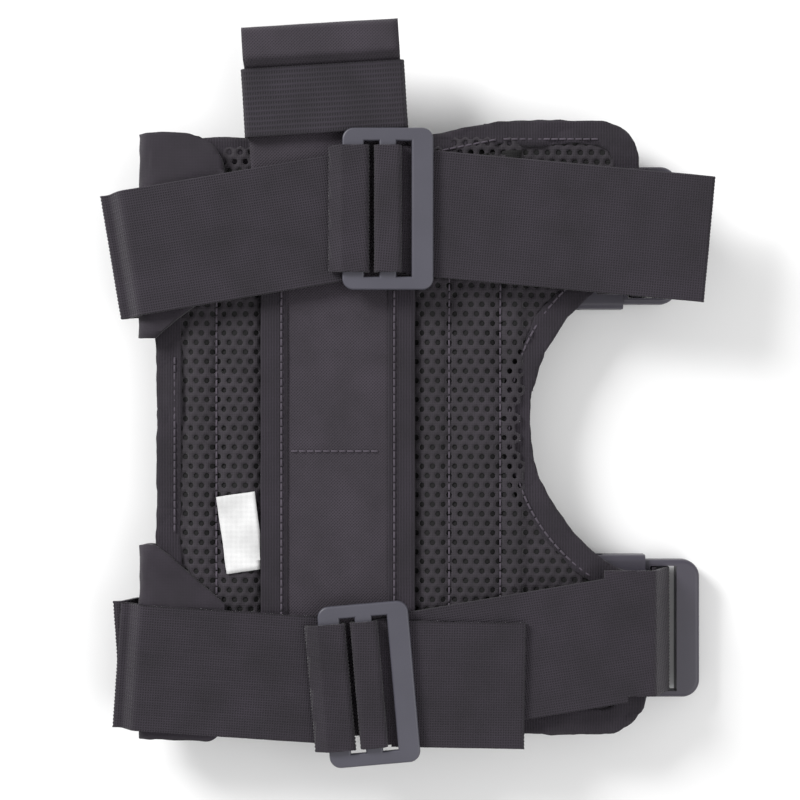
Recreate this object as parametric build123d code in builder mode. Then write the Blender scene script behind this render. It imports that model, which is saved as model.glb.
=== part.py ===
"""Strap-on kick shield: a padded leg panel with a belt loop and two buckled leg straps.

The shield lies on its padded strike face, with its mesh lining up. X runs across the leg, Y runs up the leg
and Z rises from the strike face. The origin is the centre of the strike face. All sizes are in millimetres.
"""

import os
from math import cos, radians, sin

from build123d import *

os.makedirs("parts", exist_ok=True)

# ---- clearances -------------------------------------------------------------------------------------------
seam_gap = 0.2  # between layers that are sewn or laid on each other
slip_gap = 0.3  # between pieces that move on each other

# ---- panel outline ----------------------------------------------------------------------------------------
panel_top = 118.0
panel_bottom = -121.0
fold_x = -73.0  # the left edge, where the left wings fold over
wing_top = 125.0  # top of the upper right wing
wing_rise_start = 30.0
wing_rise_end = 64.0
upper_wing_x = 120.5
lower_wing_x = 123.5
cutout_radius = 66.0  # side cut-out for the back of the leg
cutout_x = 143.0
cutout_y = 4.0
wing_corner_radius = 17.0
wing_tip_radius = 5.0
left_corner_radius = 5.0

# ---- layers, from the strike face up ------------------------------------------------------------------------
strike_pad_thickness = 14.0
strike_pad_width = 104.0
strike_pad_length = 204.0
strike_pad_corner = 22.0
strike_pad_edge = 6.0
cover_thickness = 1.2
back_fabric_thickness = 1.0
stiffener_thickness = 1.5
stiffener_width = 92.0
stiffener_length = 190.0
liner_foam_thickness = 4.6
mesh_thickness = 1.8
channel_height = 2.4
channel_margin = 12.0
left_channels = [(-61.0, -49.3), (-48.2, -30.5)]
right_channels = [(31.0, 44.0), (45.0, 64.5), (65.5, 74.5)]

binding_thickness = 0.8
binding_reach = 10.0

back_z = strike_pad_thickness + seam_gap
foam_z = back_z + back_fabric_thickness
mesh_z = foam_z + liner_foam_thickness + seam_gap
panel_z = mesh_z + mesh_thickness  # top of the mesh between its channels
channel_z = panel_z + channel_height

# ---- spine and belt loop ----------------------------------------------------------------------------------
spine_width = 60.0
spine_thickness = 1.4
spine_binding_width = 10.0
spine_binding_thickness = 0.6
spine_z = channel_z + seam_gap
spine_top = panel_top - 1.0
spine_bottom = panel_bottom + 1.0
spine_binding_z = spine_z + spine_thickness

hanger_width = 62.0
hanger_thickness = 1.4
hanger_tilt = 3.5
hanger_start = 72.0
hanger_end = 160.5
hanger_x = -1.5
hanger_z = spine_binding_z + spine_binding_thickness + seam_gap
patch_width = 50.0
patch_thickness = 0.5
patch_start = 121.0
patch_end = 146.5
flap_start = 120.0
flap_rise_start = 147.3
flap_rise_end = 149.8
tunnel_height = 6.5
flap_thickness = 1.4
keeper_start = 119.2
keeper_width = 27.0
keeper_thickness = 1.2

loop_patch_z = hanger_z + hanger_thickness
hook_patch_z = loop_patch_z + patch_thickness
flap_z = hook_patch_z + patch_thickness

# ---- care label -------------------------------------------------------------------------------------------
label_width = 15.5
label_length = 31.0
label_thickness = 0.8
label_tilt = 8.0
label_y = -39.0

# ---- webbing and hardware ---------------------------------------------------------------------------------
webbing_width = 50.0
webbing_thickness = 1.7
bend_radius = 1.3

slider_height = 64.0
slider_length = 36.0
slider_thickness = 3.0
slider_side_bar = 8.6
slider_centre_bar = 6.8
slider_arm = 5.2
slider_corner = 4.5

buckle_z = 7.0
female_cavity_depth = 38.0
female_wall = 2.0
female_slot = 6.0
female_bar = 4.0
female_width = 60.0
female_thickness = 11.6
female_cavity_width = 50.0
female_cavity_height = 7.2
window_start = 17.0
window_end = 34.0
male_width = 56.0
male_thickness = 8.0
male_wall = 2.1
male_inner_slot = 2.8
male_bar = 3.2
male_outer_slot = 4.8
male_end_bar = 9.4
male_bar_thickness = 3.2
prong_thickness = 3.0
prong_height = 6.0
prong_y = 18.5
prong_head_width = 9.5
guide_width = 8.0
guide_length = 26.0

half_web = webbing_thickness / 2
half_slider = slider_thickness / 2

# ---- folded left wings ------------------------------------------------------------------------------------
wing_thickness = 4.0
wing_flap_z = channel_z + seam_gap
wing_flap_reach = 28.0
upper_wing_low = 38.0
lower_wing_high = -45.0
wing_slant = 24.0


class LegStrap:
    """Where one leg strap runs: slider centre, its angle, and the directions of its stretches."""

    def __init__(self, slider_x, slider_y, base_z, angles, lengths, buckle_x, buckle_y, wing_x):
        self.slider_x, self.slider_y = slider_x, slider_y
        self.slider_angle, self.left_angle, self.right_angle, self.tail_angle, self.anchor_angle = angles
        self.left_length, self.tail_length = lengths
        self.buckle_x, self.buckle_y, self.wing_x = buckle_x, buckle_y, wing_x
        self.lower_z = base_z + half_web
        self.middle_z = self.lower_z + webbing_thickness + seam_gap
        self.slider_z = self.middle_z + half_web + slip_gap + half_slider
        self.upper_z = self.slider_z + half_slider + slip_gap + half_web

    def plane(self, angle):
        """The upright plane through the slider's centre that a stretch of webbing runs in, X along it."""
        return upright_plane(self.slider_x, self.slider_y, angle)

    @property
    def buckle_plane(self):
        return Plane(origin=(self.buckle_x, self.buckle_y, buckle_z))


def upright_plane(x, y, angle):
    """A plane whose X lies along a level direction at this angle from +X, and whose Y is up."""
    return Plane(
        origin=(x, y, 0),
        x_dir=(cos(radians(angle)), sin(radians(angle)), 0),
        z_dir=(sin(radians(angle)), -cos(radians(angle)), 0),
    )


strap_base_z = spine_binding_z + spine_binding_thickness + seam_gap
upper = LegStrap(
    slider_x=20.0,
    slider_y=88.5,
    base_z=hanger_z + hanger_thickness + seam_gap,
    angles=(0.0, 9.6, -5.0, -5.3, 9.6),
    lengths=(112.5, 128.0),
    buckle_x=115.5,
    buckle_y=80.0,
    wing_x=upper_wing_x,
)
lower = LegStrap(
    slider_x=12.5,
    slider_y=-99.5,
    base_z=strap_base_z,
    angles=(5.0, -3.8, 9.6, -1.0, 4.0),
    lengths=(101.2, 62.0),
    buckle_x=124.5,
    buckle_y=-80.0,
    wing_x=lower_wing_x,
)


def panel_outline(inset=0.0):
    """The padded panel in plan: a straight left edge, and two right wings round the side cut-out."""
    with BuildSketch() as outline:
        with BuildLine():
            Polyline(
                (fold_x, panel_bottom),
                (lower_wing_x, panel_bottom),
                (lower_wing_x, cutout_y),
                (upper_wing_x, cutout_y),
                (upper_wing_x, wing_top),
                (wing_rise_end, wing_top),
                (wing_rise_start, panel_top),
                (fold_x, panel_top),
                close=True,
            )
        make_face()
        with Locations((cutout_x, cutout_y)):
            Circle(cutout_radius, mode=Mode.SUBTRACT)
        corners = outline.vertices().sort_by(Axis.X)
        fillet(corners[:2], left_corner_radius)
        right = outline.vertices().group_by(Axis.X)[-2] + outline.vertices().group_by(Axis.X)[-1]
        tips = right.filter_by_position(Axis.Y, panel_bottom + 1, wing_top - 1)
        fillet(tips, wing_tip_radius)
        outer = outline.vertices().filter_by_position(Axis.Y, wing_top - 0.1, wing_top + 0.1).sort_by(Axis.X)[-1]
        low = outline.vertices().filter_by_position(Axis.Y, panel_bottom - 0.1, panel_bottom + 0.1)
        fillet([outer, low.sort_by(Axis.X)[-1]], wing_corner_radius)
        if inset:
            offset(amount=-inset, mode=Mode.REPLACE)
    return outline.sketch


def webbing(plane, points, radius=bend_radius, width=webbing_width):
    """Adds a strip of webbing whose centreline follows these points on an upright plane."""
    with BuildSketch(plane) as section:
        with BuildLine() as line:
            if len(points) == 2:
                Line(*points)
            else:
                FilletPolyline(*points, radius=radius)
        trace(line.line, webbing_thickness)
    extrude(section.sketch, amount=width / 2, both=True)


def write(node, name):
    """Labels a finished piece and writes it as its own STEP file."""
    node.part.label = name
    export_step(node.part, f"parts/{name}.step")


# ==== strike pad =============================================================================================
with BuildPart() as strike_cover:
    with BuildSketch():
        RectangleRounded(strike_pad_width, strike_pad_length, strike_pad_corner)
    extrude(amount=strike_pad_thickness)
    fillet(strike_cover.faces().sort_by(Axis.Z)[0].edges(), strike_pad_edge)
    offset(amount=-cover_thickness, openings=strike_cover.faces().sort_by(Axis.Z)[-1])
write(strike_cover, "strike_cover")

foam_inset = cover_thickness + seam_gap
with BuildPart() as impact_foam:
    with BuildSketch(Plane.XY.offset(foam_inset)):
        RectangleRounded(
            strike_pad_width - 2 * foam_inset,
            strike_pad_length - 2 * foam_inset,
            strike_pad_corner - foam_inset,
        )
    extrude(amount=strike_pad_thickness - foam_inset)
    fillet(impact_foam.faces().sort_by(Axis.Z)[0].edges(), strike_pad_edge - cover_thickness)
write(impact_foam, "impact_foam")

# ==== padded panel ===========================================================================================
outline = panel_outline()
inner_outline = panel_outline(binding_thickness)

with BuildPart() as back_fabric:
    with BuildSketch(Plane.XY.offset(back_z)):
        add(inner_outline)
    extrude(amount=back_fabric_thickness)
write(back_fabric, "back_fabric")

with BuildPart() as stiffener_plate:
    with BuildSketch(Plane.XY.offset(foam_z + seam_gap)):
        RectangleRounded(stiffener_width, stiffener_length, strike_pad_corner / 2)
    extrude(amount=stiffener_thickness)
write(stiffener_plate, "stiffener_plate")

with BuildPart() as liner_foam:
    with BuildSketch(Plane.XY.offset(foam_z + seam_gap / 2)):
        add(inner_outline)
    extrude(amount=liner_foam_thickness)
    with BuildSketch(Plane.XY.offset(foam_z)):
        RectangleRounded(
            stiffener_width + 2 * seam_gap,
            stiffener_length + 2 * seam_gap,
            strike_pad_corner / 2 + seam_gap,
        )
    extrude(amount=stiffener_thickness + 2 * seam_gap, mode=Mode.SUBTRACT)
write(liner_foam, "liner_foam")

with BuildPart() as mesh_lining:
    for low_x, high_x in left_channels + right_channels:
        with BuildSketch(Plane.XZ):
            with BuildLine():
                Line((low_x, panel_z), (high_x, panel_z))
                ThreePointArc((low_x, panel_z), ((low_x + high_x) / 2, channel_z), (high_x, panel_z))
            make_face()
        extrude(amount=(panel_top - panel_bottom), both=True)
    with BuildSketch(Plane.XY.offset(panel_z)):
        add(panel_outline(channel_margin))
    extrude(amount=channel_height, mode=Mode.INTERSECT)
    with BuildSketch(Plane.XY.offset(mesh_z)):
        add(inner_outline)
    extrude(amount=mesh_thickness)
write(mesh_lining, "mesh_lining")

with BuildPart() as edge_binding:
    with BuildSketch(Plane.XY.offset(back_z - binding_thickness)):
        add(outline)
        add(panel_outline(binding_reach), mode=Mode.SUBTRACT)
    extrude(amount=panel_z - back_z + 2 * binding_thickness)
    with BuildSketch(Plane.XY.offset(back_z)):
        add(inner_outline)
    extrude(amount=panel_z - back_z, mode=Mode.SUBTRACT)
    with BuildSketch(Plane.XY.offset(back_z - binding_thickness)):
        for low_y, high_y in [(panel_bottom, lower_wing_high), (upper_wing_low, panel_top)]:
            with Locations((fold_x, low_y)):
                Rectangle(binding_thickness, high_y - low_y, align=(Align.MIN, Align.MIN))
    extrude(amount=panel_z - back_z + 2 * binding_thickness, mode=Mode.SUBTRACT)
write(edge_binding, "edge_binding")


def folded_wing(low_y, high_y, slant_at_low):
    """Adds a left wing: the panel's edge turned up and over, with its end lying on the mesh."""
    fold_z = (back_z + wing_flap_z + wing_thickness) / 2
    outer_radius = fold_z - back_z
    with BuildSketch(Plane.XZ.offset(-high_y)) as section:
        with BuildLine():
            Line((fold_x, back_z), (fold_x, back_z + wing_thickness))
            ThreePointArc(
                (fold_x, back_z + wing_thickness),
                (fold_x - outer_radius + wing_thickness, fold_z),
                (fold_x, wing_flap_z),
            )
            Line((fold_x, wing_flap_z), (fold_x + wing_flap_reach, wing_flap_z))
            Line((fold_x + wing_flap_reach, wing_flap_z), (fold_x + wing_flap_reach, wing_flap_z + wing_thickness))
            Line((fold_x + wing_flap_reach, wing_flap_z + wing_thickness), (fold_x, wing_flap_z + wing_thickness))
            ThreePointArc(
                (fold_x, wing_flap_z + wing_thickness), (fold_x - outer_radius, fold_z), (fold_x, back_z)
            )
        make_face()
    extrude(section.sketch, amount=high_y - low_y)
    slant_y, sign = (low_y, 1) if slant_at_low else (high_y, -1)
    with BuildSketch(Plane.XY.offset(wing_flap_z)) as slant:
        with BuildLine():
            Polyline(
                (fold_x + seam_gap, slant_y - sign),
                (fold_x + wing_flap_reach + 1, slant_y - sign),
                (fold_x + wing_flap_reach + 1, slant_y + sign * wing_slant),
                (fold_x + seam_gap, slant_y),
                close=True,
            )
        make_face()
    extrude(slant.sketch, amount=wing_thickness + 1, mode=Mode.SUBTRACT)


with BuildPart() as upper_left_wing:
    folded_wing(upper_wing_low, panel_top + 1.5, slant_at_low=True)
    far_corner = upper_left_wing.edges().filter_by(Axis.Z).group_by(Axis.Y)[-1].sort_by(Axis.X)[-1]
    fillet(far_corner, wing_corner_radius)
write(upper_left_wing, "upper_left_wing")

with BuildPart() as lower_left_wing:
    folded_wing(panel_bottom - 1.5, lower_wing_high, slant_at_low=False)
    near_corner = lower_left_wing.edges().filter_by(Axis.Z).group_by(Axis.Y)[0].sort_by(Axis.X)[-1]
    fillet(near_corner, wing_corner_radius / 2)
write(lower_left_wing, "lower_left_wing")

# ==== spine ==================================================================================================
spine_length = spine_top - spine_bottom
spine_y = (spine_top + spine_bottom) / 2
with BuildPart() as spine_panel:
    with BuildSketch(Plane.XY.offset(spine_z)):
        with Locations((0, spine_y)):
            Rectangle(spine_width, spine_length)
    extrude(amount=spine_thickness)
write(spine_panel, "spine_panel")

for side, name in [(-1, "spine_binding_left"), (1, "spine_binding_right")]:
    with BuildPart() as spine_binding:
        edge_x = side * (spine_width / 2 + seam_gap + spine_binding_thickness)
        inner_x = side * (spine_width / 2 - spine_binding_width)
        with BuildSketch(Plane.XZ.offset(-spine_top)):
            with BuildLine():
                Polyline(
                    (inner_x, spine_binding_z),
                    (inner_x, spine_binding_z + spine_binding_thickness),
                    (edge_x, spine_binding_z + spine_binding_thickness),
                    (edge_x, spine_z),
                    (edge_x - side * spine_binding_thickness, spine_z),
                    (edge_x - side * spine_binding_thickness, spine_binding_z),
                    close=True,
                )
            make_face()
        extrude(amount=spine_length)
    write(spine_binding, name)

with BuildPart() as care_label:
    with BuildSketch(
        Plane(
            origin=(-spine_width / 2 - 1.2, label_y, channel_z + seam_gap / 2),
            x_dir=(cos(radians(label_tilt)), sin(radians(label_tilt)), 0),
            z_dir=(0, 0, 1),
        )
    ):
        Rectangle(label_width, label_length, align=(Align.MAX, Align.CENTER))
    extrude(amount=label_thickness)
    with BuildSketch(Plane.XY.offset(channel_z)):
        with Locations((-spine_width / 2 - 1.0, label_y)):
            Rectangle(label_width, 2 * label_length, align=(Align.MIN, Align.CENTER))
    extrude(amount=label_thickness + 1, mode=Mode.SUBTRACT)
write(care_label, "care_label")

# ==== belt loop ==============================================================================================
hanger_plane = Plane(
    origin=(hanger_x, hanger_start, 0),
    x_dir=(cos(radians(hanger_tilt)), sin(radians(hanger_tilt)), 0),
    z_dir=(0, 0, 1),
)
hanger_side = Plane(origin=hanger_plane.origin, x_dir=hanger_plane.y_dir, z_dir=hanger_plane.x_dir)


def along_hanger(y):
    """A distance up the hanger, measured from where it starts."""
    return y - hanger_start


def hanger_slab(low_y, high_y, z, thickness, width):
    """Adds a flat slab across the hanger between two heights up the leg."""
    with BuildSketch(hanger_plane.offset(z)) as slab:
        with Locations((0, along_hanger((low_y + high_y) / 2))):
            Rectangle(width, high_y - low_y)
    extrude(slab.sketch, amount=thickness)


with BuildPart() as hanger_strap:
    hanger_slab(hanger_start, hanger_end, hanger_z, hanger_thickness, hanger_width)
write(hanger_strap, "hanger_strap")

with BuildPart() as loop_patch:
    hanger_slab(patch_start, patch_end, loop_patch_z, patch_thickness, patch_width)
write(loop_patch, "loop_patch")

with BuildPart() as hook_patch:
    hanger_slab(patch_start, patch_end, hook_patch_z, patch_thickness, patch_width)
write(hook_patch, "hook_patch")

flap_middle = flap_z + flap_thickness / 2
fold_top = hanger_z + hanger_thickness + tunnel_height + flap_thickness / 2
with BuildPart() as belt_flap:
    with BuildSketch(hanger_side):
        with BuildLine() as flap_line:
            FilletPolyline(
                (along_hanger(flap_start), flap_middle),
                (along_hanger(flap_rise_start), flap_middle),
                (along_hanger(flap_rise_end), fold_top),
                (along_hanger(hanger_end) + slip_gap + flap_thickness / 2, fold_top),
                (along_hanger(hanger_end) + slip_gap + flap_thickness / 2, hanger_z),
                radius=2.0,
            )
        trace(flap_line.line, flap_thickness)
    extrude(amount=hanger_width / 2, both=True)
write(belt_flap, "belt_flap")

keeper_inner_low = hanger_z - slip_gap
keeper_inner_high = flap_z + flap_thickness + slip_gap
with BuildPart() as keeper_band:
    with BuildSketch(Plane(hanger_plane.origin, x_dir=hanger_plane.x_dir, z_dir=-hanger_plane.y_dir)):
        with Locations((0, (keeper_inner_low + keeper_inner_high) / 2)):
            keeper_inner_width = hanger_width + 2 * slip_gap
            keeper_inner_height = keeper_inner_high - keeper_inner_low
            RectangleRounded(
                keeper_inner_width + 2 * keeper_thickness,
                keeper_inner_height + 2 * keeper_thickness,
                2 * keeper_thickness,
            )
            RectangleRounded(keeper_inner_width, keeper_inner_height, slip_gap, mode=Mode.SUBTRACT)
    extrude(amount=-along_hanger(keeper_start + keeper_width))
    with BuildSketch(hanger_plane.offset(keeper_inner_low - 5)):
        Rectangle(2 * hanger_width, 2 * along_hanger(keeper_start))
    extrude(amount=30, mode=Mode.SUBTRACT)
write(keeper_band, "keeper_band")


# ==== leg straps =============================================================================================
slot_x = (slider_length - 2 * slider_side_bar - slider_centre_bar) / 2  # length of each of the slider's slots
centre_edge = slider_centre_bar / 2
bar_gap = slip_gap + half_web  # from a bar's face to the middle of the webbing round it
cut_end = slider_length / 2 + 5.0  # where the leg strap's sewn end stops, left of the slider
fin_z = (back_z + upper.middle_z) / 2  # height of the seam where the strap and its anchor meet
fin_length = 4.0
anchor_clearance = 6.0  # from the strike pad's side to the end of a slanted anchor strap
male_bar_x = male_wall + male_inner_slot + male_bar / 2
female_bar_x = -(female_cavity_depth + female_wall + female_slot + female_bar / 2)


def slider_plate(strap):
    """Adds a three-bar slider, lying flat over the webbing."""
    plane = Plane(
        origin=(strap.slider_x, strap.slider_y, strap.slider_z - half_slider),
        x_dir=(cos(radians(strap.slider_angle)), sin(radians(strap.slider_angle)), 0),
        z_dir=(0, 0, 1),
    )
    with BuildSketch(plane) as plate:
        RectangleRounded(slider_length, slider_height, slider_corner)
        for side in (-1, 1):
            with Locations((side * (centre_edge + slot_x / 2), 0)):
                Rectangle(slot_x, slider_height - 2 * slider_arm, mode=Mode.SUBTRACT)
    extrude(plate.sketch, amount=slider_thickness)
    rims = edges().filter_by(Axis.Z, reverse=True).group_by(Axis.Z)
    fillet(rims[0] + rims[-1], 0.8)


def leg_strap(strap):
    """Adds the strap from its left seam to the slider, sewn back on itself round the slider's left bar."""
    turn = -(strap.left_length - fin_length)
    left_plane = strap.plane(strap.left_angle)
    webbing(
        left_plane,
        [
            (-strap.left_length, fin_z + half_web + seam_gap / 2),
            (turn, fin_z + half_web + seam_gap / 2),
            (turn + 5.0, strap.middle_z),
            (-slider_length / 2, strap.middle_z),
        ],
        radius=3.0,
    )
    slot_line = -(centre_edge + slot_x) + bar_gap
    webbing(
        strap.plane(strap.slider_angle),
        [
            (-cut_end, strap.middle_z),
            (slot_line, strap.middle_z),
            (slot_line, strap.upper_z),
            (-slider_length / 2, strap.upper_z),
            (-cut_end, strap.middle_z + webbing_thickness + seam_gap),
        ],
    )


def adjuster_strap(strap):
    """Adds the strap from the male buckle to the slider, round its centre bar, and out as a free tail."""
    across = strap.buckle_x + male_bar_x - strap.slider_x
    bar_z = male_bar_thickness / 2 + bar_gap
    outer_x = male_bar_x + male_bar / 2 + bar_gap
    inner_x = male_bar_x - male_bar / 2 - bar_gap
    over_x = strap.wing_x + binding_thickness + 1.0 + half_web
    end_plane = upright_plane(strap.buckle_x, strap.buckle_y, 0.0)
    webbing(
        end_plane,
        [
            (inner_x, buckle_z + 4.6),
            (inner_x, buckle_z - bar_z),
            (outer_x, buckle_z - bar_z),
            (outer_x, buckle_z + bar_z),
            (over_x - strap.buckle_x, strap.lower_z),
            (over_x - strap.buckle_x - 20.0, strap.lower_z),
        ],
    )
    webbing(
        strap.plane(strap.right_angle),
        [(0, strap.lower_z), (across - 18.0, strap.lower_z)],
    )
    webbing(
        strap.plane(strap.slider_angle),
        [
            (slider_length / 2, strap.lower_z),
            (-centre_edge - bar_gap, strap.lower_z),
            (-centre_edge - bar_gap, strap.upper_z),
            (centre_edge + bar_gap, strap.upper_z),
            (centre_edge + bar_gap, strap.middle_z),
            (slider_length / 2, strap.middle_z),
        ],
    )
    webbing(
        strap.plane(strap.tail_angle),
        [(centre_edge + slot_x, strap.middle_z), (strap.tail_length, strap.middle_z)],
    )


def anchor_strap(strap):
    """Adds the strap sewn behind the panel, up to the seam where it meets the leg strap."""
    seam_x = strap.slider_x - strap.left_length * cos(radians(strap.left_angle))
    seam_y = strap.slider_y - strap.left_length * sin(radians(strap.left_angle))
    back_middle = back_z - seam_gap - half_web - binding_thickness
    webbing(
        upright_plane(seam_x, seam_y, strap.anchor_angle),
        [
            (0, fin_z - half_web - seam_gap / 2),
            (fin_length, fin_z - half_web - seam_gap / 2),
            (fin_length + 4.0, back_middle),
            (-strike_pad_width / 2 - anchor_clearance - seam_x, back_middle),
        ],
        radius=2.0,
    )


def buckle_tab(strap):
    """Adds the doubled tab that holds the female buckle to the back of the wing."""
    back_middle = back_z - seam_gap - half_web - binding_thickness
    bar_z = male_bar_thickness / 2 + bar_gap
    start = strike_pad_width / 2 + 1.5 - strap.buckle_x
    webbing(
        upright_plane(strap.buckle_x, strap.buckle_y, 0.0),
        [
            (start, back_middle),
            (female_bar_x - 4.5, back_middle),
            (female_bar_x - 1.0, buckle_z + bar_z),
            (female_bar_x + female_bar / 2 + bar_gap, buckle_z + bar_z),
            (female_bar_x + female_bar / 2 + bar_gap, buckle_z - bar_z),
            (female_bar_x - 4.0, buckle_z - bar_z),
            (female_bar_x - 8.5, back_middle - webbing_thickness - seam_gap),
            (start, back_middle - webbing_thickness - seam_gap),
        ],
    )


# ==== side-release buckles ===================================================================================
def buckle_box(plane, low_x, high_x, width, height, mode=Mode.ADD):
    """Adds or cuts a box between two distances from the buckle's mouth, centred across and through it."""
    with BuildSketch(plane.offset(-height / 2)) as box:
        with Locations(((low_x + high_x) / 2, 0)):
            Rectangle(high_x - low_x, width)
    extrude(box.sketch, amount=height, mode=mode)


def buckle_socket(plane):
    """Adds the female half: an open-mouthed housing with side windows, and a bar for its tab."""
    body_start = -(female_cavity_depth + female_wall)
    bar_start = body_start - female_slot - female_bar
    buckle_box(plane, body_start, 0, female_width, female_thickness)
    fillet(edges().filter_by(Axis.Z).group_by(Axis.X)[0], 6.0)
    fillet(edges().filter_by(Axis.X).group_by(Axis.Z)[-1] + edges().filter_by(Axis.X).group_by(Axis.Z)[0], 2.5)
    buckle_box(plane, bar_start, body_start + 6.0, female_width - 2.0, male_bar_thickness)
    buckle_box(plane, -female_cavity_depth, 0, female_cavity_width, female_cavity_height, Mode.SUBTRACT)
    buckle_box(plane, -window_end, -window_start, female_width, female_cavity_height, Mode.SUBTRACT)
    buckle_box(
        plane, bar_start + female_bar, body_start, webbing_width + 2, female_thickness, Mode.SUBTRACT
    )


def buckle_plug(plane):
    """Adds the male half without its prongs: the webbing frame, and the guide between the prongs."""
    frame_end = male_wall + male_inner_slot + male_bar + male_outer_slot + male_end_bar
    buckle_box(plane, slip_gap, frame_end, male_width, male_thickness)
    fillet(edges().filter_by(Axis.Z).group_by(Axis.X)[-1], 7.0)
    fillet(faces().sort_by(Axis.X)[-1].edges(), 1.8)
    inner_slot = (male_wall, male_wall + male_inner_slot)
    outer_slot = (inner_slot[1] + male_bar, inner_slot[1] + male_bar + male_outer_slot)
    for low_x, high_x in (inner_slot, outer_slot):
        buckle_box(plane, low_x, high_x, webbing_width + 1, male_thickness, Mode.SUBTRACT)
    for side in (-1, 1):
        trim = plane.offset(side * (male_bar_thickness + male_thickness) / 4)
        buckle_box(
            trim,
            inner_slot[1],
            outer_slot[0],
            webbing_width + 1,
            (male_thickness - male_bar_thickness) / 2,
            Mode.SUBTRACT,
        )
    buckle_box(plane, -guide_length, male_wall, guide_width, prong_height - 1)


def prong(plane, side):
    """Adds one spring prong: an arm rounded at its root, with a head in the housing's side window."""
    head_start, head_end = -(window_end - 1.0), -(window_start + 0.5)
    with BuildSketch(plane.offset(-prong_height / 2)) as arm:
        with Locations((-prong_thickness / 2, side * prong_y)):
            Circle(prong_thickness / 2)
        with Locations((head_start / 2 - prong_thickness / 4, side * prong_y)):
            Rectangle(-head_start - prong_thickness / 2, prong_thickness)
        with Locations(((head_start + head_end) / 2, side * (prong_y + (prong_head_width - prong_thickness) / 2))):
            Rectangle(head_end - head_start, prong_head_width)
    extrude(arm.sketch, amount=prong_height)
    outer = edges().filter_by(Axis.Z).sort_by(lambda edge: side * edge.center().Y)[-2:]
    fillet(outer, 1.5)


for strap, name in [(upper, "upper"), (lower, "lower")]:
    with BuildPart() as slider:
        slider_plate(strap)
    write(slider, f"{name}_slider")

    with BuildPart() as front_strap:
        leg_strap(strap)
    write(front_strap, f"{name}_strap")

    with BuildPart() as adjuster:
        adjuster_strap(strap)
    write(adjuster, f"{name}_adjuster_strap")

    with BuildPart() as anchor:
        anchor_strap(strap)
    write(anchor, f"{name}_anchor_strap")

    with BuildPart() as tab:
        buckle_tab(strap)
    write(tab, f"{name}_buckle_tab")

    with BuildPart() as socket:
        buckle_socket(strap.buckle_plane)
    write(socket, f"{name}_buckle_socket")

    with BuildPart() as plug:
        buckle_plug(strap.buckle_plane)
    write(plug, f"{name}_buckle_plug")

    for side, end in [(1, "top"), (-1, "bottom")]:
        with BuildPart() as spring_prong:
            prong(strap.buckle_plane, side)
        write(spring_prong, f"{name}_{end}_prong")
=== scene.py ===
"""The looks of the kick shield: quilted mesh, ribbed webbing, woven tapes, moulded hardware, stitching."""

from math import cos, pi, radians, sin, sqrt

import bmesh
import bpy
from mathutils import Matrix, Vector, noise
from mathutils.bvhtree import BVHTree


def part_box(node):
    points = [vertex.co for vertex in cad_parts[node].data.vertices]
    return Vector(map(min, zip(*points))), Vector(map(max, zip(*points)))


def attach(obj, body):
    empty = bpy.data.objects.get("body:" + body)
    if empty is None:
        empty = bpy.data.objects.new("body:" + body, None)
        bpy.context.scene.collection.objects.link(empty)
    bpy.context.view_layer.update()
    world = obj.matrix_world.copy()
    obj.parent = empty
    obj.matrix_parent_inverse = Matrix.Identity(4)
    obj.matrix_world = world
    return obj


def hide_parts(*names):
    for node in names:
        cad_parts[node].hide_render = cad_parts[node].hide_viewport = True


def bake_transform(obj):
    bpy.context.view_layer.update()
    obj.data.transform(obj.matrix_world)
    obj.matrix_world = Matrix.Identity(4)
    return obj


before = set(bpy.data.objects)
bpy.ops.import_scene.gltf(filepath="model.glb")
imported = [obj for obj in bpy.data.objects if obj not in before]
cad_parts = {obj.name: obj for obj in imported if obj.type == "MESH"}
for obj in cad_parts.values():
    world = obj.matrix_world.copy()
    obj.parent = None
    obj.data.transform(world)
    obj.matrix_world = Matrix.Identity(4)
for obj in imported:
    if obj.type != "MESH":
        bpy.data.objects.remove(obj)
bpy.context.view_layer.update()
MM = 0.001
UP = Vector((0, 0, 1))


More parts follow.
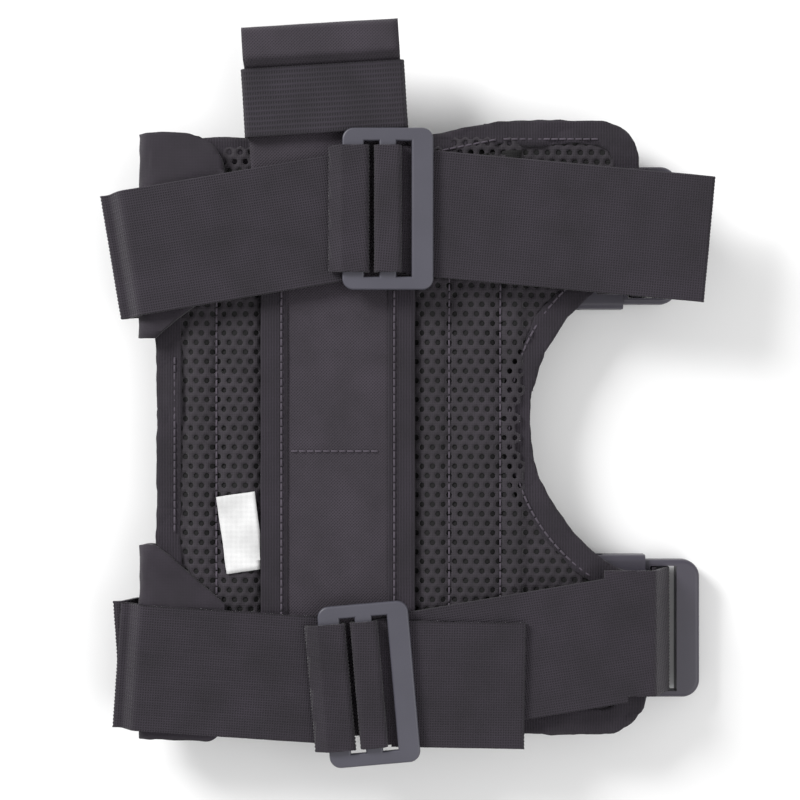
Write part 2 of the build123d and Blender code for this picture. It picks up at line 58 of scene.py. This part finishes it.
# ---- materials ----------------------------------------------------------------------------------------
def fabric(name, color, thread, angle=0.0, sheen=0.08, roughness=0.85, bump=0.35, cross=1.0):
    """Woven cloth: threads this far apart in metres at this angle, with uneven dye and a soft sheen."""
    material = bpy.data.materials.new(name)
    material.use_nodes = True
    nodes, links = material.node_tree.nodes, material.node_tree.links
    shader = nodes["Principled BSDF"]
    shader.inputs["Roughness"].default_value = roughness
    shader.inputs["Sheen Weight"].default_value = sheen
    shader.inputs["Sheen Roughness"].default_value = 0.45
    place = nodes.new("ShaderNodeTexCoord")
    turn = nodes.new("ShaderNodeMapping")
    turn.inputs["Rotation"].default_value = (0, 0, -radians(angle))
    links.new(place.outputs["Object"], turn.inputs["Vector"])

    weave = []
    for direction, pitch in (("X", thread), ("Y", thread * cross)):
        wave = nodes.new("ShaderNodeTexWave")
        wave.bands_direction = direction
        wave.inputs["Scale"].default_value = 2 * pi / 20 / pitch
        wave.inputs["Distortion"].default_value = 0.6
        wave.inputs["Detail"].default_value = 1.0
        links.new(turn.outputs["Vector"], wave.inputs["Vector"])
        weave.append(wave)
    threads = nodes.new("ShaderNodeMath")
    threads.operation = "MAXIMUM"
    links.new(weave[0].outputs["Fac"], threads.inputs[0])
    links.new(weave[1].outputs["Fac"], threads.inputs[1])

    uneven = nodes.new("ShaderNodeTexNoise")
    uneven.inputs["Scale"].default_value = 60.0
    uneven.inputs["Detail"].default_value = 8.0
    links.new(place.outputs["Object"], uneven.inputs["Vector"])
    shade = nodes.new("ShaderNodeMath")
    shade.operation = "MULTIPLY"
    links.new(threads.outputs[0], shade.inputs[0])
    links.new(uneven.outputs["Fac"], shade.inputs[1])
    dye = nodes.new("ShaderNodeValToRGB")
    dye.color_ramp.elements[0].position = 0.1
    dye.color_ramp.elements[1].position = 0.75
    dye.color_ramp.elements[0].color = (*[c * 0.55 for c in color], 1)
    dye.color_ramp.elements[1].color = (*[c * 1.45 for c in color], 1)
    links.new(shade.outputs[0], dye.inputs["Fac"])
    links.new(dye.outputs["Color"], shader.inputs["Base Color"])

    relief = nodes.new("ShaderNodeBump")
    relief.inputs["Strength"].default_value = bump
    relief.inputs["Distance"].default_value = 0.0004
    links.new(threads.outputs[0], relief.inputs["Height"])
    links.new(relief.outputs["Normal"], shader.inputs["Normal"])
    return material


def moulded(name, color):
    """Satin moulded plastic, with a fine grain and slight unevenness in its gloss."""
    material = bpy.data.materials.new(name)
    material.use_nodes = True
    nodes, links = material.node_tree.nodes, material.node_tree.links
    shader = nodes["Principled BSDF"]
    shader.inputs["Specular IOR Level"].default_value = 0.5
    place = nodes.new("ShaderNodeTexCoord")
    grain = nodes.new("ShaderNodeTexNoise")
    grain.inputs["Scale"].default_value = 1800.0
    patches = nodes.new("ShaderNodeTexNoise")
    patches.inputs["Scale"].default_value = 45.0
    patches.inputs["Detail"].default_value = 6.0
    for texture in (grain, patches):
        links.new(place.outputs["Object"], texture.inputs["Vector"])
    tint = nodes.new("ShaderNodeValToRGB")
    tint.color_ramp.elements[0].color = (*[c * 0.85 for c in color], 1)
    tint.color_ramp.elements[1].color = (*[c * 1.15 for c in color], 1)
    links.new(patches.outputs["Fac"], tint.inputs["Fac"])
    links.new(tint.outputs["Color"], shader.inputs["Base Color"])
    gloss = nodes.new("ShaderNodeMapRange")
    gloss.inputs["To Min"].default_value = 0.34
    gloss.inputs["To Max"].default_value = 0.48
    links.new(patches.outputs["Fac"], gloss.inputs["Value"])
    links.new(gloss.outputs["Result"], shader.inputs["Roughness"])
    relief = nodes.new("ShaderNodeBump")
    relief.inputs["Strength"].default_value = 0.12
    relief.inputs["Distance"].default_value = 0.0002
    links.new(grain.outputs["Fac"], relief.inputs["Height"])
    links.new(relief.outputs["Normal"], shader.inputs["Normal"])
    return material


# ---- cloth pieces that follow a frame node ------------------------------------------------------------
def along(angle):
    """The level direction at this angle from +X."""
    return Vector((cos(radians(angle)), sin(radians(angle)), 0))


def spread(mesh_data, direction):
    """The lowest and highest distance of a mesh's points along a direction."""
    far = [v.co.dot(direction) for v in mesh_data.verts]
    return min(far), max(far)


def slice_up(data, direction, step):
    """Cuts a mesh into strips this wide, square to a direction."""
    low, high = spread(data, direction)
    for n in range(1, int((high - low) / step) + 1):
        everything = data.verts[:] + data.edges[:] + data.faces[:]
        cut = direction * (low + n * step)
        bmesh.ops.bisect_plane(data, geom=everything, plane_co=cut, plane_no=direction)


def finish_cloth(name, data, material, angle, step, rib, rib_depth, wrinkle):
    """Makes an object of a cloth mesh: sliced, ribbed along its length, and softly wrinkled."""
    length, across = along(angle), along(angle + 90)
    slice_up(data, length, step)
    slice_up(data, across, rib / 2 if rib else step)
    data.normal_update()
    low = spread(data, across)[0]
    moves = []
    for v in data.verts:
        level = abs(v.normal.dot(across)) < 0.6
        row = round((v.co.dot(across) - low) / (rib / 2)) if rib else 0
        ridge = (rib_depth if row % 2 else -rib_depth) if rib and level else 0
        ripple = wrinkle * noise.noise(v.co * 70) + 0.4 * wrinkle * noise.noise(v.co * 230)
        moves.append(v.normal * (ridge + ripple))
    for v, move in zip(data.verts, moves):
        v.co += move
    mesh = bpy.data.meshes.new(name)
    data.to_mesh(mesh)
    data.free()
    mesh.shade_smooth()
    mesh.materials.clear()
    mesh.materials.append(material)
    piece = bpy.data.objects.new(name, mesh)
    bpy.context.scene.collection.objects.link(piece)
    return piece


def node_mesh(node):
    """A bmesh copy of a frame node."""
    data = bmesh.new()
    data.from_mesh(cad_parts[node].data)
    bmesh.ops.remove_doubles(data, verts=data.verts, dist=0.00001)
    bmesh.ops.dissolve_limit(data, angle_limit=0.001, verts=data.verts, edges=data.edges)
    return data


def cloth(node, material, angle=0.0, step=0.003, rib=0.0, rib_depth=0.0002, wrinkle=0.0002):
    """Replaces a soft frame node with a cloth piece that rides on the panel."""
    piece = finish_cloth(
        "cloth_" + node, node_mesh(node), material, angle, step, rib, rib_depth, wrinkle
    )
    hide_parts(node)
    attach(piece, "panel")
    return piece


# ---- stitching ----------------------------------------------------------------------------------------
def stitches(name, runs, material, pitch=0.0032, thread=0.0004):
    """Rows of thread: each run is (start, end), and each stitch dips into the cloth at both ends."""
    data = bmesh.new()
    for start, end in runs:
        start, end = Vector(start), Vector(end)
        direction = (end - start).normalized()
        side = direction.cross(UP).normalized()
        for n in range(int((end - start).length / pitch)):
            rings = []
            for share in (0.08, 0.25, 0.5, 0.75, 0.92):
                middle = start + direction * pitch * (n + share) + UP * thread * (1.4 * sin(pi * share) - 0.5)
                ring = [
                    data.verts.new(middle + thread * (side * cos(2 * pi * k / 6) + UP * sin(2 * pi * k / 6)))
                    for k in range(6)
                ]
                rings.append(ring)
            for a, b in zip(rings, rings[1:]):
                for k in range(6):
                    data.faces.new((a[k], a[(k + 1) % 6], b[(k + 1) % 6], b[k]))
            data.faces.new(rings[0][::-1])
            data.faces.new(rings[-1])
    mesh = bpy.data.meshes.new(name)
    data.to_mesh(mesh)
    data.free()
    mesh.shade_smooth()
    mesh.materials.append(material)
    piece = bpy.data.objects.new(name, mesh)
    bpy.context.scene.collection.objects.link(piece)
    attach(piece, "panel")
    return piece


webbing_color = (0.021, 0.016, 0.024)
thread_material = fabric("sewing_thread", (0.085, 0.07, 0.092), 0.0004, bump=0.2)

# ---- quilted mesh lining ------------------------------------------------------------------------------
CHANNELS = ((-61.0, -49.3), (-48.2, -30.5), (31.0, 44.0), (45.0, 64.5), (65.5, 74.5))
CELL = 4.4 * MM
HOLE = 1.15 * MM
MESH_THREAD = 0.5 * MM
FADE = 20 * MM  # the channels flatten over this stretch at the top and bottom
lining_low, lining_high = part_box("mesh_lining")
puff = 2.4 * MM
valley = lining_high.z - puff
foam = BVHTree.FromPolygons(
    [v.co.copy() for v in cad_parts["liner_foam"].data.vertices],
    [tuple(p.vertices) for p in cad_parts["liner_foam"].data.polygons],
)


def lining_height(x, y):
    """The crowned height of the quilted lining, which sinks to its seams and at its top and bottom."""
    for low, high in CHANNELS:
        share = (x / MM - low) / (high - low)
        if 0 <= share <= 1:
            ends = min(1.0, (y - lining_low.y) / FADE, (lining_high.y - y) / FADE)
            return valley + puff * sqrt(max(0.0, 1 - (2 * share - 1) ** 2)) * max(0.0, ends)
    return valley


def on_foam(x, y, margin):
    """Whether the foam lies under a place and under places this far round it."""
    places = [(0, 0)] + [(margin * cos(k * pi / 4), margin * sin(k * pi / 4)) for k in range(8)]
    return all(foam.ray_cast(Vector((x + dx, y + dy, 0.1)), -UP)[0] is not None for dx, dy in places)


def open_mesh():
    """A knitted mesh of round holes in a honeycomb, over the quilted channels."""
    data = bmesh.new()
    welded = {}

    def point(x, y):
        key = (round(x * 1e5), round(y * 1e5))
        if key not in welded:
            welded[key] = data.verts.new((x, y, lining_height(x, y) + 0.25 * MM))
        return welded[key]

    rows = int((lining_high.y - lining_low.y) / (CELL * sqrt(3) / 2)) + 1
    columns = int((lining_high.x - lining_low.x) / CELL) + 1
    for row in range(rows):
        for column in range(columns):
            x = lining_low.x + (column + 0.5 * (row % 2)) * CELL
            y = lining_low.y + row * CELL * sqrt(3) / 2
            if not on_foam(x, y, CELL):
                continue
            rim, hole = [], []
            for k in range(12):
                turn = pi / 6 * k
                reach = CELL / sqrt(3) if k % 2 else CELL / 2
                rim.append(point(x + reach * cos(turn), y + reach * sin(turn)))
                hole.append(point(x + HOLE * cos(turn), y + HOLE * sin(turn)))
            for k in range(12):
                try:
                    data.faces.new((hole[k], rim[k], rim[(k + 1) % 12], hole[(k + 1) % 12]))
                except ValueError:
                    pass
    mesh = bpy.data.meshes.new("open_mesh")
    data.to_mesh(mesh)
    data.free()
    mesh.shade_smooth()
    piece = bpy.data.objects.new("open_mesh", mesh)
    bpy.context.scene.collection.objects.link(piece)
    thickened = piece.modifiers.new("thread", "SOLIDIFY")
    thickened.thickness = MESH_THREAD
    return piece


mesh_top = open_mesh()
mesh_top.data.materials.append(fabric("mesh_knit", (0.026, 0.021, 0.028), 0.0007, sheen=0.15))
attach(mesh_top, "panel")
# painted shade: the backing's own black is darkened far below the knit, so the holes show painted shade as
# well as the cloth's real black
backing_painted_shade = fabric("mesh_backing_painted_shade", (0.002, 0.0017, 0.0022), 0.0009, sheen=0.0)
backing = cloth("mesh_lining", backing_painted_shade, step=0.004)

# ---- panel and spine ----------------------------------------------------------------------------------
nylon = fabric("nylon_cloth", (0.02, 0.015, 0.023), 0.0006)
tape = fabric("ribbed_tape", (0.02, 0.015, 0.023), 0.0011, bump=0.6, cross=0.5)
twill = fabric("spine_twill", (0.033, 0.026, 0.036), 0.0009, angle=45, sheen=0.12, bump=0.6)
foam_material = fabric("foam_grain", (0.02, 0.02, 0.02), 0.0015, sheen=0.0)

cloth("edge_binding", tape, step=0.0018, wrinkle=0.0016)
cloth("back_fabric", nylon, step=0.006, wrinkle=0.0)
cloth("liner_foam", foam_material, step=0.01, wrinkle=0.0)
cloth("impact_foam", foam_material, step=0.01, wrinkle=0.0)
cloth("strike_cover", nylon, step=0.004, wrinkle=0.0002)
for node in ("upper_left_wing", "lower_left_wing"):
    cloth(node, nylon, step=0.0025, wrinkle=0.0012)
cloth("spine_panel", twill, angle=90, wrinkle=0.0001)
for node in ("spine_binding_left", "spine_binding_right"):
    cloth(node, tape, angle=90, step=0.002, wrinkle=0.0003)
for node in ("hanger_strap", "belt_flap"):
    cloth(node, twill, angle=93.5, step=0.003, wrinkle=0.00012)
hook = fabric("hook_tape", (0.02, 0.02, 0.02), 0.0012, bump=0.9)
for node in ("hook_patch", "loop_patch"):
    cloth(node, hook, angle=93.5, step=0.004, wrinkle=0.0)
elastic = fabric("knitted_elastic", (0.018, 0.014, 0.021), 0.0010, angle=3.5, bump=0.7, cross=2.0)
KEEPER_RIB = 1.6 * MM
cloth(
    "keeper_band", elastic, angle=3.5, step=0.003, rib=KEEPER_RIB, rib_depth=0.00006, wrinkle=0.00008
)
paper = fabric("label_cloth", (0.72, 0.72, 0.72), 0.0005, sheen=0.1, bump=0.15)
label = cloth("care_label", paper, angle=8, step=0.002, wrinkle=0.0003)

# ---- leg straps ---------------------------------------------------------------------------------------
RIB = 1.44 * MM
LAYER = 2.1 * MM  # from a slider's underside to the gap between the tail and the run under it
ANGLES = {"upper": (9.6, -5.0, -5.3, 9.6), "lower": (-3.8, 9.6, -1.0, 4.0)}


def ribbed(side, part, angle):
    return fabric(f"webbing_{side}_{part}", webbing_color, 0.0010, angle=angle, bump=0.7, sheen=0.12)


def adjuster(side, run_angle, tail_angle):
    """Splits the adjuster strap: its tail stays with the panel, and the run under it is baked into world
    space and attached to no body.
    """
    node = f"{side}_adjuster_strap"
    slider_low, slider_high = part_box(f"{side}_slider")
    split = slider_low.z - LAYER
    pieces = {}
    for part, angle in (("tail", tail_angle), ("run", run_angle)):
        data = node_mesh(node)
        everything = data.verts[:] + data.edges[:] + data.faces[:]
        bmesh.ops.bisect_plane(data, geom=everything, plane_co=(slider_high.x, 0, 0), plane_no=(1, 0, 0))
        dropped = [
            f
            for f in data.faces
            if (part == "tail")
            == (f.calc_center_median().x > slider_high.x and f.calc_center_bounds().z < split)
        ]
        bmesh.ops.delete(data, geom=dropped, context="FACES")
        pieces[part] = finish_cloth(
            f"{node}_{part}", data, ribbed(side, part, angle), angle, 0.002, RIB, 0.0001, 0.0001
        )
        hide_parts(node)
    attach(pieces["tail"], "panel")
    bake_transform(pieces["run"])


for side, (left, run, tail, anchor) in ANGLES.items():
    strap_material = ribbed(side, "strap", left)
    cloth(f"{side}_strap", strap_material, angle=left, step=0.002, rib=RIB, wrinkle=0.0001)
    anchor_material = ribbed(side, "anchor", anchor)
    cloth(f"{side}_anchor_strap", anchor_material, angle=anchor, step=0.002, rib=RIB)
    cloth(f"{side}_buckle_tab", ribbed(side, "tab", 0), step=0.002, rib=RIB)
    adjuster(side, run, tail)

# ---- moulded hardware ---------------------------------------------------------------------------------
slider_plastic = moulded("slider_plastic", (0.068, 0.066, 0.085))
buckle_plastic = moulded("buckle_plastic", (0.05, 0.045, 0.062))
for node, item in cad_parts.items():
    if node.endswith(("slider", "socket", "plug", "prong", "plate")):
        item.data.materials.clear()
        item.data.materials.append(slider_plastic if node.endswith("slider") else buckle_plastic)
        item.data.shade_smooth()
        rounding = item.modifiers.new("moulded_edges", "BEVEL")
        rounding.width = 0.0003
        rounding.segments = 2
        rounding.limit_method = "ANGLE"
        rounding.angle_limit = radians(40)
        item.modifiers.new("flats", "WEIGHTED_NORMAL")

# ---- stitching ----------------------------------------------------------------------------------------
spine_low, spine_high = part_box("spine_panel")
tape_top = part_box("spine_binding_left")[1].z + 0.0002
runs = []
for edge in (spine_low.x + 0.0075, spine_high.x - 0.0075):
    runs.append(((edge, spine_low.y + 0.004, tape_top), (edge, spine_high.y - 0.004, tape_top)))
row = spine_low.y + 0.475 * (spine_high.y - spine_low.y)
row_z = spine_high.z + 0.1 * MM
runs.append(((spine_low.x + 0.011, row, row_z), (spine_high.x - 0.011, row, row_z)))
stitches("spine_stitches", runs, thread_material)

# the panel's edge tape is sewn a little inside the outline, and the cut-out's row follows its arc
tape_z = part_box("edge_binding")[1].z + 0.0002
CUT_X, CUT_Y, CUT_REACH = 0.143, 0.004, 0.0745
SEW_IN = 0.0075
tape_low, tape_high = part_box("edge_binding")
left_row = tape_low.x + SEW_IN
edge_runs = [
    ((left_row, -0.040, tape_z), (left_row, 0.033, tape_z)),
    ((0.032, 0.111, tape_z), (0.064, tape_high.y - SEW_IN, tape_z)),
    ((0.066, tape_high.y - SEW_IN, tape_z), (0.106, tape_high.y - SEW_IN, tape_z)),
]
STITCH_TURN = 2.52  # degrees of the arc that one stitch takes
ARC_START, ARC_STITCHES = 125, 44  # degrees from +X, and how many stitches the arc holds
for n in range(ARC_STITCHES):
    ends = [radians(ARC_START + STITCH_TURN * (n + k)) for k in (0, 1)]
    edge_runs.append([(CUT_X + CUT_REACH * cos(a), CUT_Y + CUT_REACH * sin(a), tape_z) for a in ends])
stitches("edge_stitches", edge_runs, thread_material)

seams = []
seam_z = valley + 0.6 * MM
for left_channel, right_channel in zip(CHANNELS, CHANNELS[1:]):
    if right_channel[0] - left_channel[1] < 2:
        seam = (left_channel[1] + right_channel[0]) / 2 * MM
        seams.append(((seam, lining_low.y + FADE, seam_z), (seam, lining_high.y - FADE, seam_z)))
stitches("quilting_stitches", seams, thread_material)

# ---- floor, light and camera --------------------------------------------------------------------------
VIEW_X, VIEW_Y = 0.0248, 0.013
VIEW_WIDTH = 0.320
FOCAL = 85.0
SENSOR = 36.0

bpy.ops.mesh.primitive_plane_add(size=6)
floor = bpy.context.object
floor.name = "floor"
floor_material = bpy.data.materials.new("pale_floor")
floor_material.use_nodes = True
floor_material.node_tree.nodes["Principled BSDF"].inputs["Base Color"].default_value = (0.93, 0.93, 0.93, 1)
floor_material.node_tree.nodes["Principled BSDF"].inputs["Roughness"].default_value = 0.9
floor.data.materials.append(floor_material)

world = bpy.data.worlds.new("studio")
world.use_nodes = True
world.node_tree.nodes["Background"].inputs["Color"].default_value = (1, 1, 1, 1)
world.node_tree.nodes["Background"].inputs["Strength"].default_value = 0.6
bpy.context.scene.world = world
for name, place, size, power in (
    ("key", (-0.9, 0.8, 0.8), 0.5, 19.0),
    ("fill", (0.9, -0.4, 1.2), 1.2, 8.0),
):
    lamp = bpy.data.lights.new(name, "AREA")
    lamp.size = size
    lamp.energy = power
    item = bpy.data.objects.new(name, lamp)
    item.location = place
    item.rotation_euler = (Vector((VIEW_X, VIEW_Y, 0)) - Vector(place)).to_track_quat("-Z", "Y").to_euler()
    bpy.context.scene.collection.objects.link(item)

lens = bpy.data.cameras.new("camera")
lens.lens = FOCAL
lens.sensor_width = SENSOR
camera = bpy.data.objects.new("camera", lens)
camera.location = (VIEW_X, VIEW_Y, VIEW_WIDTH * FOCAL / SENSOR + lining_high.z)
bpy.context.scene.collection.objects.link(camera)
bpy.context.scene.camera = camera
bpy.context.scene.view_settings.view_transform = "Standard"
